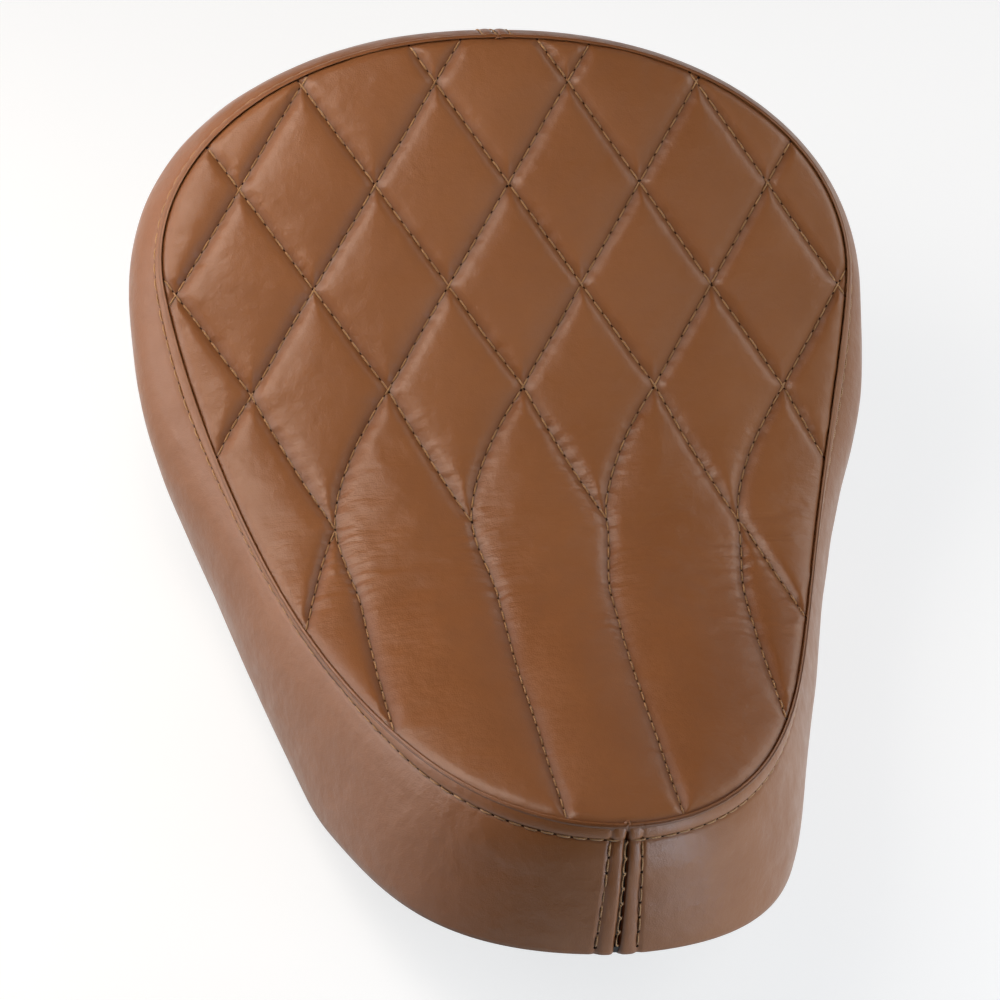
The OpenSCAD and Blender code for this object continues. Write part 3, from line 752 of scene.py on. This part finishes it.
def make_panel():
    """The quilted top; also its upper surface for ray casts, and its coarse flat mesh."""
    flat, faces = coarse = panel_mesh()
    line_d, _ = line_distance(flat)
    seam_d = seam_distance(flat)
    free = np.minimum(line_d, seam_d)
    edge = pillow(seam_d, EDGE_WALL, EDGE_WALL_RUN, EDGE_DOME, EDGE_DOME_RUN)
    height = np.minimum(pillow(line_d), edge)
    height[seam_d < ON_LINE] = EDGE_DROP
    points = on_top(flat[:, 0], flat[:, 1], height)
    obj = new_object("leather_top", points, faces)
    store(obj, "flat_x", flat[:, 0])
    store(obj, "flat_s", flat[:, 1])
    inflate(obj, free < ON_LINE)
    subdivide(obj, line_d < ON_LINE)
    flat = np.stack([stored(obj, "flat_x"), stored(obj, "flat_s")], -1)
    line_d, run = line_distance(flat)
    seam_d = seam_distance(flat)
    raised = panel_relief(obj, flat, line_d, seam_d, run)
    set_points(obj, points_of(obj) + normals_of(obj) * raised[:, None])
    # Painted shade in the grooves beside the sewn lines and at the seam.
    painted_groove_shade = np.maximum(0.75 * np.exp(-line_d / 0.9), 0.5 * np.exp(-seam_d / 0.7))
    store(obj, "painted_groove_shade", painted_groove_shade)
    store(obj, "creased", creasing(flat, line_d))
    surface = BVHTree.FromPolygons([tuple(p) for p in points_of(obj)],
                                   [tuple(p.vertices) for p in obj.data.polygons])
    solidify(obj, TOP_THICK)
    finish_piece(obj, LEATHER_MAT, "leather", "top_panel")
    return surface, coarse


# ---------------------------------------------------------------- side bands
LIP_ROW = 4.2            # where the rows below put the topstitch
LIP_DOWNS = np.array([-3.0, -2.0, -1.1, -0.5, 0.0, 0.3, 0.6, 1.0, 1.5, 2.1, 2.7, 3.1, 3.5,
                      3.8, 4.0, 4.2, 4.4, 4.7, 5.1, 5.6, 6.3, 7.2, 8.4, 9.8])
BODY_ROWS = 25
HEM_INSETS = (0.5, 1.4, 3.0, 5.0, 8.0, 11.0, 14.0, 16.5, HEM)
END_ROUND = 0.9          # how far the seam's two folded edges turn in
TUCK = np.array([0.8, 1.8, 3.0])     # rows that go down inside the seam
CLOSING = 0.4            # the two halves lean together at the lip
LIP_FADE, HEM_FADE = 12, 9           # rows over which the ends' shape comes in and goes out


def topstitch_at(a):
    """Distance of the topstitch below the seam; it runs lower round the nose."""
    return TOPSTITCH_AT + NOSE_TOPSTITCH * ease((outline(a)[..., 1] - NOSE_FROM) / NOSE_RUN)


def lip(d, a):
    """How far the band stands out at d below its seam: folded lip, stitch dent, body."""
    row = topstitch_at(a)
    ridge = 0.7 * np.sin(math.pi * np.clip((d + 0.6) / (row + 0.6), 0, 1)) ** 0.7
    dent = -0.55 * np.exp(-((d - row) / 0.7) ** 2)
    swell = 0.5 * ease((d - row - 0.4) / 6.0)
    return ridge + dent + swell - GAP * np.exp(-np.maximum(d, 0) / 0.8)


def band_height(a):
    return np.linalg.norm(foot(a) - on_band(a, 0 * a), axis=-1)


def band_points(a):
    """Rows of points down the band, for the angles a: lip, body and turned-under hem."""
    tall = band_height(a)
    rows = []
    up = top_normal(outline(a)[:, 1])
    out = outward3(a)
    body = np.linspace(0, 1, BODY_ROWS + 1)[1:]
    stretch = topstitch_at(a) / LIP_ROW
    for d in LIP_DOWNS:
        low = max(d, 0) * stretch
        rows.append(on_band(a, low / tall) + out * lip(low, a)[:, None] + up * min(d, 0))
    start = LIP_DOWNS[-1] * stretch / tall
    for t in body:
        down = start + (1 - start) * t
        base = on_band(a, down)
        fade = 1 - ease((t - 0.85) / 0.15) * 0.4
        rows.append(base + out * (lip(down * tall, a) * fade)[:, None])
    for inset in HEM_INSETS:
        sink = -(LEATHER + HEM_GAP) * ease((inset + 0.4) / 2.4)
        rows.append(foot(a, np.full(len(a), inset)) + np.array([0, 0, sink]))
    return np.array(rows)


def angle_table():
    """Angles along the right half, evenly spaced on the seam, and their seam distances."""
    a = np.linspace(0.0005, math.pi - 0.0005, 4000)
    return a, arc_lengths(outline(a))


def joined_ends(grid, out, end):
    """Rounds the band's two ends, tucks them into the seams and closes the lip there."""
    along = np.clip((end - 0.6) / 1.3, 0, 1)
    round_end = -END_ROUND * (1 - np.sqrt(1 - (1 - along) ** 2))
    welt = 0.4 * np.sin(math.pi * np.clip(end / SEAM_ROW_AT, 0, 1))
    welt -= 0.5 * np.exp(-((end - SEAM_ROW_AT) / 0.7) ** 2)
    fade = np.ones(len(grid))
    fade[:LIP_FADE] = np.linspace(0.0, 1, LIP_FADE) ** 2
    fade[-HEM_FADE:] = np.linspace(0.8, 0.0, HEM_FADE)
    grid = grid + out[None] * ((round_end + welt) * fade[:, None])[..., None]
    first = grid[:, :1] - out[None, :1] * TUCK[None, ::-1, None] * fade[:, None, None]
    last = grid[:, -1:] - out[None, -1:] * TUCK[None, :, None] * fade[:, None, None]
    grid = np.concatenate([first, grid, last], axis=1)
    none = [0] * len(TUCK)
    closing = (1 - np.clip(np.concatenate([none, end, none]) / 3, 0, 1))[None]
    closing = closing * (1 - ease((np.arange(len(grid)) - LIP_FADE) / 8))[:, None]
    grid[..., 0] -= CLOSING * closing * np.sign(grid[..., 0])
    return grid


def band_slack(points, out, side, down, rows):
    """Slow unevenness of the band's body; down is each point's row."""
    body = ease((down - len(LIP_DOWNS)) / 6.0) * (1 - ease((down - (rows - 12)) / 3.0))
    tucks = len(TUCK)
    away = np.concatenate([out[:1]] * tucks + [out] + [out[-1:]] * tucks)
    away = np.repeat(away[None], rows, 0).reshape(-1, 3)
    return away * (relief(points, (48, 15), (0.9, 0.18), seed=side * 9.0) * body)[:, None]


def make_band(side):
    """One half of the side band, right (1) or left (-1)."""
    angles, run = angle_table()
    fine_end = np.concatenate([np.arange(0.6, 8, 0.45), np.arange(8, 20, 1.0)])
    middle = np.arange(20, run[-1] - 20, 1.75)
    where = np.concatenate([fine_end, middle, (run[-1] - fine_end)[::-1]])
    a = np.interp(where, run, angles)
    out = outward3(a)
    grid = joined_ends(band_points(a), out, np.minimum(where, run[-1] - where))
    rows, cols = grid.shape[:2]
    points = grid.reshape(-1, 3).copy()
    points += band_slack(points, out, side, np.repeat(np.arange(rows), cols), rows)
    points[:, 0] *= side
    faces = grid_faces(rows, cols)
    if side < 0:
        faces = faces[:, ::-1]
    half = "right" if side > 0 else "left"
    obj = new_object("leather_band_" + half, points, faces)
    lipped = np.concatenate([LIP_DOWNS, np.full(rows - len(LIP_DOWNS), 30.0)])
    d = np.repeat(lipped, cols)
    # Painted shade in the open seam above the lip and in the topstitch dent.
    shade = 0.85 * np.exp(-np.maximum(d + 1.2, 0) / 0.7) + 0.3 * np.exp(-((d - LIP_ROW) / 0.5) ** 2)
    store(obj, "painted_groove_shade", np.clip(shade, 0, 1))
    store(obj, "creased", np.full(len(points), 0.12))
    solidify(obj, BAND_THICK)
    finish_piece(obj, LEATHER_MAT, "leather", "band_" + half)


# ---------------------------------------------------------------- stitches
def tube(points, radius, sides=8):
    """Closed tube with rounded ends through a list of points, as points and faces."""
    pts = np.asarray(points)
    ring = []
    taper = np.ones(len(pts))
    taper[0] = taper[-1] = 0.45
    for i, p in enumerate(pts):
        t = pts[min(i + 1, len(pts) - 1)] - pts[max(i - 1, 0)]
        t = t / np.linalg.norm(t)
        ref = np.array([0, 0, 1.0]) if abs(t[2]) < 0.8 else np.array([1.0, 0, 0])
        b = np.cross(t, ref)
        b /= np.linalg.norm(b)
        n = np.cross(b, t)
        for k in range(sides):
            c = 2 * math.pi * k / sides
            ring.append(p + (b * math.cos(c) + n * math.sin(c)) * radius * taper[i])
    m = len(pts)
    faces = []
    for i in range(m - 1):
        for k in range(sides):
            q = (k + 1) % sides
            faces.append((i * sides + k, i * sides + q, (i + 1) * sides + q, (i + 1) * sides + k))
    faces.append(tuple(range(sides))[::-1])
    faces.append(tuple((m - 1) * sides + k for k in range(sides)))
    return np.array(ring), faces


def bead(centre, normal, radius, flat=0.3, sides=10):
    """A small flattened dark bead that paints the shade inside a needle hole."""
    n = normal / np.linalg.norm(normal)
    b = np.cross(n, [0.3, 0.9, 0.2])
    b /= np.linalg.norm(b)
    c = np.cross(n, b)
    pts = [centre + n * radius * flat]
    for k in range(sides):
        t = 2 * math.pi * k / sides
        pts.append(centre + (b * math.cos(t) + c * math.sin(t)) * radius)
    pts.append(centre - n * radius * flat)
    faces = []
    for k in range(sides):
        q = 1 + (k + 1) % sides
        faces.append((0, 1 + k, q))
        faces.append((sides + 1, q, 1 + k))
    return np.array(pts), faces


class Heap:
    """Collects many small solids into one mesh."""

    def __init__(self):
        self.points, self.faces, self.count = [], [], 0

    def take(self, solid):
        points, faces = solid
        self.points.append(points)
        self.faces += [tuple(i + self.count for i in f) for f in faces]
        self.count += len(points)

    def build(self, name):
        return new_object(name, np.concatenate(self.points), self.faces)


# height of a stitch over the leather, from needle hole to needle hole
STITCH_ARCH = np.array([-0.33, 0.1, 0.24, 0.27, 0.24, 0.1, -0.33])
THREAD_END = STITCH_GAP * 0.35       # a stitch stops this far from its holes' centres
HOLE_R = 0.55
CAST_FROM = 9.0          # rays towards the leather start this far above the seam's level
# one crossing of the thread that shows in an open seam: how far down, across and inwards
LADDER_DOWN = np.array([0.0, 0.1, 0.5, 1.6, 3.0, 4.3, 5.2, 5.5, 5.6])
LADDER_X = np.array([0.7, 0.35, -0.2, -0.5, -0.6, -0.5, -0.2, 0.35, 0.7])
LADDER_DEPTH = np.array([-1.1, -0.35, -0.1, 0.0, 0.05, 0.0, -0.1, -0.35, -1.1])


def sew(line, normals, threads, holes, radius=THREAD_R):
    """Stitches along a line of points on a surface, with dark beads of painted shade at the needle
    holes between them.
    """
    run = arc_lengths(line)
    n = max(1, int(round(run[-1] / STITCH)))
    pitch = run[-1] / n
    for i in range(n):
        jitter = rng.normal(0, 0.07, 3)
        t = np.linspace(i * pitch + THREAD_END, (i + 1) * pitch - THREAD_END, len(STITCH_ARCH))
        p = np.stack([np.interp(t, run, line[:, k]) for k in range(3)], -1)
        up = np.stack([np.interp(t, run, normals[:, k]) for k in range(3)], -1)
        threads.take(tube(p + up * STITCH_ARCH[:, None] + jitter, radius * rng.uniform(0.92, 1.08)))
    for i in range(n + 1):
        t = min(i * pitch, run[-1])
        p = np.array([np.interp(t, run, line[:, k]) for k in range(3)])
        up = np.array([np.interp(t, run, normals[:, k]) for k in range(3)])
        holes.take(bead(p + up * 0.02, up, HOLE_R * rng.uniform(0.85, 1.15)))


def on_surface(path, surface):
    """Drops a flat path onto the finished panel along the top's normals."""
    fine = resampled(path, 0.8)
    up = top_normal(fine[:, 1])
    high = on_top(fine[:, 0], fine[:, 1], np.full(len(fine), CAST_FROM))
    landed = []
    for p, n in zip(high, up):
        hit = surface.ray_cast(Vector(p), Vector(-n), 25)
        landed.append(tuple(hit[0]) if hit[0] else tuple(p - n * (CAST_FROM + 0.5)))
    return np.array(landed), up


def sew_quilting(surface, holes):
    threads = Heap()
    for path in PATHS:
        line, up = on_surface(path, surface)
        sew(line, up, threads, holes)
    obj = threads.build("quilt_stitches")
    return finish_piece(obj, THREAD_MAT, "thread", "quilt_thread")


def band_line(a, d, extra=0.0):
    """Points and outward normals on the band, d below the seam."""
    tall = band_height(a)
    base = on_band(a, d / tall)
    normals = outward3(a)
    return base + normals * (lip(d, a) + extra)[:, None], normals


def sew_edge(holes):
    threads = Heap()
    angles, run = angle_table()
    where = np.arange(2.0, run[-1] - 1.0, 1.0)
    a = np.interp(where, run, angles)
    line, up = band_line(a, topstitch_at(a), np.full(len(a), 0.12))
    for side in (1, -1):
        flip = np.array([side, 1, 1])
        sew(line * flip, up * flip, threads, holes, radius=THREAD_R * 1.05)
    obj = threads.build("edge_stitches")
    return finish_piece(obj, THREAD_MAT, "thread", "edge_thread")


def sew_seam(name, node, at_nose, holes):
    """Twin rows beside a seam, and the thread that shows in its open joint."""
    threads = Heap()
    angles, run = angle_table()
    total = run[-1]
    place = total - SEAM_ROW_AT if at_nose else SEAM_ROW_AT
    a0 = float(np.interp(place, run, angles))
    gap_a = float(np.interp(total - 0.3 if at_nose else 0.3, run, angles))
    height = float(band_height(np.array([a0]))[0])
    first = float(topstitch_at(np.array([a0]))[0])
    d = np.arange(first + 0.6, height - 2.0, 0.8)
    for side in (1, -1):
        flip = np.array([side, 1, 1])
        line, up = band_line(np.full(len(d), a0), d, np.full(len(d), -0.35))
        sew(line * flip, up * flip, threads, holes, radius=THREAD_R * 1.1)
    for low in np.arange(first + 0.8, height - 6.0, STITCH):
        t = low + LADDER_DOWN
        line, up = band_line(np.full(len(t), gap_a), t, LADDER_DEPTH)
        line[:, 0] = LADDER_X
        threads.take(tube(line, THREAD_R))
    obj = threads.build(name)
    return finish_piece(obj, THREAD_MAT, "thread", node)


# ---------------------------------------------------------------- foam and tapes
def make_quilt_foam(leather, coarse):
    """The sewn-in foam: its top follows the quilted leather and its back is smooth."""
    flat, faces = coarse
    upper = on_top(flat[:, 0], flat[:, 1], 0 * flat[:, 0])
    up = top_normal(flat[:, 1])
    high = upper + CAST_FROM * up
    back = -(LEATHER + QUILT_FOAM)
    for i, (p, n) in enumerate(zip(high, up)):
        hit = leather.ray_cast(Vector(p), Vector(-n), 20)
        level = (CAST_FROM - hit[3] if hit[0] else -2.2) - 1.5
        upper[i] += n * max(level, back + 1.5)
    inwards = FOAM_MIDDLE + (flat[:, 1] - FOAM_MIDDLE) * FOAM_SHRINK
    lower = on_top(flat[:, 0] * FOAM_SHRINK, inwards, np.full(len(flat), back))
    upper[:, 0] *= FOAM_SHRINK
    count = len(flat)
    used = {}
    for f in faces:
        for a, b in zip(f, list(f[1:]) + [f[0]]):
            used[(a, b)] = used.get((a, b), 0) + 1
    rim = [(a, b) for (a, b) in used if (b, a) not in used]
    solid = list(faces) + [[i + count for i in f[::-1]] for f in faces]
    solid += [[b, a, a + count, b + count] for a, b in rim]
    obj = new_object("quilting_foam", np.concatenate([upper, lower]), solid)
    finish_piece(obj, FOAM_SOFT, "foam_soft", "quilt_foam")


def make_foam(node, name, mat, slot_name, cell):
    """Cut foam: the CAD solid with softened edges and a slightly uneven skin."""
    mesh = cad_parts[node].data.copy()
    obj = bpy.data.objects.new(name, mesh)
    bpy.context.scene.collection.objects.link(obj)
    remesh = obj.modifiers.new("cells", "REMESH")
    remesh.mode, remesh.voxel_size, remesh.use_smooth_shade = "VOXEL", cell * MM, True
    smooth = obj.modifiers.new("soften", "SMOOTH")
    smooth.factor, smooth.iterations = 0.5, 5
    apply_modifiers(obj)
    points = points_of(obj)
    uneven = relief(points, (26, 7), (0.35, 0.12), seed=4.0) - 0.15
    set_points(obj, points + normals_of(obj) * uneven[:, None])
    finish_piece(obj, mat, slot_name, node)


def make_tape(name, node, at_nose):
    """Woven tape glued behind the joint of the two bands."""
    angles, run = angle_table()
    where = np.linspace(0, TAPE_HALF, 12)
    a = np.interp(run[-1] - where if at_nose else where, run, angles)
    down = np.linspace(0.14, 0.87, 40)
    right = np.array([on_band(a, np.full(len(a), t)) - outward3(a) * 1.55 for t in down])
    left = right[:, :0:-1] * np.array([-1, 1, 1])
    grid = np.concatenate([left, right], axis=1)
    rows, cols = grid.shape[:2]
    faces = grid_faces(rows, cols)
    obj = new_object(name, grid.reshape(-1, 3), faces if at_nose else faces[:, ::-1])
    solidify(obj, TAPE_THICK)
    finish_piece(obj, TAPE, "tape", node)


# ---------------------------------------------------------------- build
FOAM_SOFT = foam_material("soft_foam", (0.74, 0.66, 0.45), (0.5, 0.42, 0.24), 0.9)
FOAM_FIRM = foam_material("firm_foam", (0.6, 0.56, 0.5), (0.36, 0.33, 0.29), 0.7)
TAPE = tape_material()
top_surface, top_coarse = make_panel()
make_quilt_foam(top_surface, top_coarse)
make_foam("comfort_foam", "comfort_layer", FOAM_SOFT, "foam_soft", 2.4)
make_foam("core_foam", "moulded_core", FOAM_FIRM, "foam_firm", 2.4)
make_tape("nose_tape", "nose_seam_tape", True)
make_tape("rear_tape", "rear_seam_tape", False)
for side in (1, -1):
    make_band(side)
hole_heap = Heap()
sew_quilting(top_surface, hole_heap)
sew_edge(hole_heap)
sew_seam("nose_stitches", "nose_seam_thread", True, hole_heap)
sew_seam("rear_stitches", "rear_seam_thread", False, hole_heap)
# Dark beads of painted shade at every needle hole.
finish_piece(hole_heap.build("needle_hole_shades"), HOLE_SHADE_MAT, "leather")

# ---------------------------------------------------------------- CAD nodes
STEEL = coated_steel("black_coated_steel", (0.022, 0.022, 0.023))
ZINC, RUBBER, NYLON = zinc_steel(), rubber(), nylon()
NODE_LOOKS = {
    "seat_pan": STEEL, "nose_bracket": STEEL, "rear_bracket": STEEL, "pivot_tube": STEEL,
    "nose_weld_nuts": ZINC, "rear_weld_nuts": ZINC, "bumper_nuts": ZINC, "nose_bolts": ZINC,
    "nose_washers": ZINC, "rear_bolts": ZINC, "rear_washers": ZINC, "bumper_washers": ZINC,
    "bumper_screws": ZINC, "hem_washers": ZINC, "hem_rivets": ZINC, "bumpers": RUBBER,
    "edge_trim": RUBBER, "vent_grommets": RUBBER, "pivot_bushes": NYLON,
}
for name, look in NODE_LOOKS.items():
    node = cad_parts[name]
    node.data.materials.clear()
    node.data.materials.append(look)

# ---------------------------------------------------------------- stage
FLOOR_SIZE = 6.0
CAMERA_AZIMUTH, CAMERA_ELEVATION, CAMERA_ROLL = -18.42, 46.81, 12.29
CAMERA_LENS, CAMERA_DISTANCE = 222.9, 2.1533
CAMERA_AIM = (0.0, -0.065, 0.076)
CAMERA_OFFSET = (-0.0141, -0.00197)
LIGHT_AIM = (0, -0.06, 0.08)
FLOOR_DROP = 0.0003      # keeps the feet's undersides clear of the floor's own face
FLOOR_ALBEDO, FLOOR_GLOW = 0.45, 0.68
BACKGROUND = 0.92
WARM, NEUTRAL, COOL = (1.0, 0.88, 0.76), (1.0, 0.97, 0.94), (0.8, 0.9, 1.0)
SKY = (0.68, 0.83, 1.0)
# name, azimuth, elevation, distance, size, power, colour, whether the leather mirrors it
SOFTBOXES = [
    ("left_key", -104, 50, 0.44, 0.3, 1.0, WARM, True),
    ("left_low", -96, 12, 0.6, 0.4, 1.7, NEUTRAL, True),
    ("left_top", -120, 60, 0.5, 0.3, 0.3, NEUTRAL, True),
    ("front_fill", 55, 8, 0.8, 0.5, 3.0, COOL, False),
    ("front_window", 34, 8, 0.8, 0.32, 1.7, SKY, True),
    ("front_high", 40, 50, 1.0, 0.6, 0.7, NEUTRAL, True),
    ("right_low", 110, 20, 0.8, 0.5, 1.4, NEUTRAL, True),
    ("rear_left", -135, 14, 1.0, 0.6, 1.3, COOL, True),
    ("rear_right", 140, 25, 1.0, 0.6, 0.25, COOL, True),
]


def make_floor():
    half = FLOOR_SIZE / 2 / MM
    low = -FLOOR_DROP / MM
    corners = [(-half, -half, low), (half, -half, low), (half, half, low), (-half, half, low)]
    obj = new_object("floor", corners, [(0, 1, 2, 3)])
    mat, tree, shader = material("pale_floor", (FLOOR_ALBEDO,) * 3, 0.9)
    obj.data.materials.append(mat)
    shader.inputs["Specular IOR Level"].default_value = 0.1
    shader.inputs["Emission Color"].default_value = (1, 1, 1, 1)
    shader.inputs["Emission Strength"].default_value = FLOOR_GLOW
    obj.visible_diffuse = False


def softbox(name, azimuth, elevation, distance, size, power, colour, mirrored):
    """A square softbox aimed at the seat; azimuth 0 stands in front of the nose."""
    data = bpy.data.lights.new(name, "AREA")
    data.shape, data.size = "SQUARE", size
    data.energy, data.color = power, colour
    obj = bpy.data.objects.new(name, data)
    bpy.context.scene.collection.objects.link(obj)
    a, e = math.radians(azimuth), math.radians(elevation)
    away = Vector((math.sin(a) * math.cos(e), -math.cos(a) * math.cos(e), math.sin(e)))
    obj.location = Vector(LIGHT_AIM) + away * distance
    obj.rotation_euler = (-away).to_track_quat("-Z", "Y").to_euler()
    obj.visible_camera = False
    obj.visible_glossy = mirrored


def make_camera():
    az, el, roll = (math.radians(v) for v in (CAMERA_AZIMUTH, CAMERA_ELEVATION, CAMERA_ROLL))
    back = Vector((math.sin(az) * math.cos(el), -math.cos(az) * math.cos(el), math.sin(el)))
    right = Vector((0, 0, 1)).cross(back).normalized()
    up = back.cross(right)
    side = right * math.cos(roll) + up * math.sin(roll)
    top_dir = up * math.cos(roll) - right * math.sin(roll)
    data = bpy.data.cameras.new("camera")
    data.lens, data.sensor_width = CAMERA_LENS, 36.0
    data.clip_start, data.clip_end = 0.05, 50.0
    cam = bpy.data.objects.new("camera", data)
    bpy.context.scene.collection.objects.link(cam)
    place = Vector(CAMERA_AIM) + back * CAMERA_DISTANCE
    place += side * CAMERA_OFFSET[0] + top_dir * CAMERA_OFFSET[1]
    cam.matrix_world = Matrix((
        (side.x, top_dir.x, back.x, place.x),
        (side.y, top_dir.y, back.y, place.y),
        (side.z, top_dir.z, back.z, place.z),
        (0, 0, 0, 1),
    ))
    bpy.context.scene.camera = cam


def make_background():
    """A pale background that lights nothing: the softboxes and the floor do that."""
    world = bpy.data.worlds.new("studio")
    world.use_nodes = True
    background = world.node_tree.nodes["Background"]
    background.inputs["Color"].default_value = (1.0, 1.0, 1.0, 1)
    background.inputs["Strength"].default_value = BACKGROUND
    bpy.context.scene.world = world
    for ray in ("diffuse", "glossy", "transmission", "scatter"):
        setattr(world.cycles_visibility, ray, False)


make_floor()
make_background()
for box in SOFTBOXES:
    softbox(*box)
make_camera()
bpy.context.scene.view_settings.view_transform = "Standard"
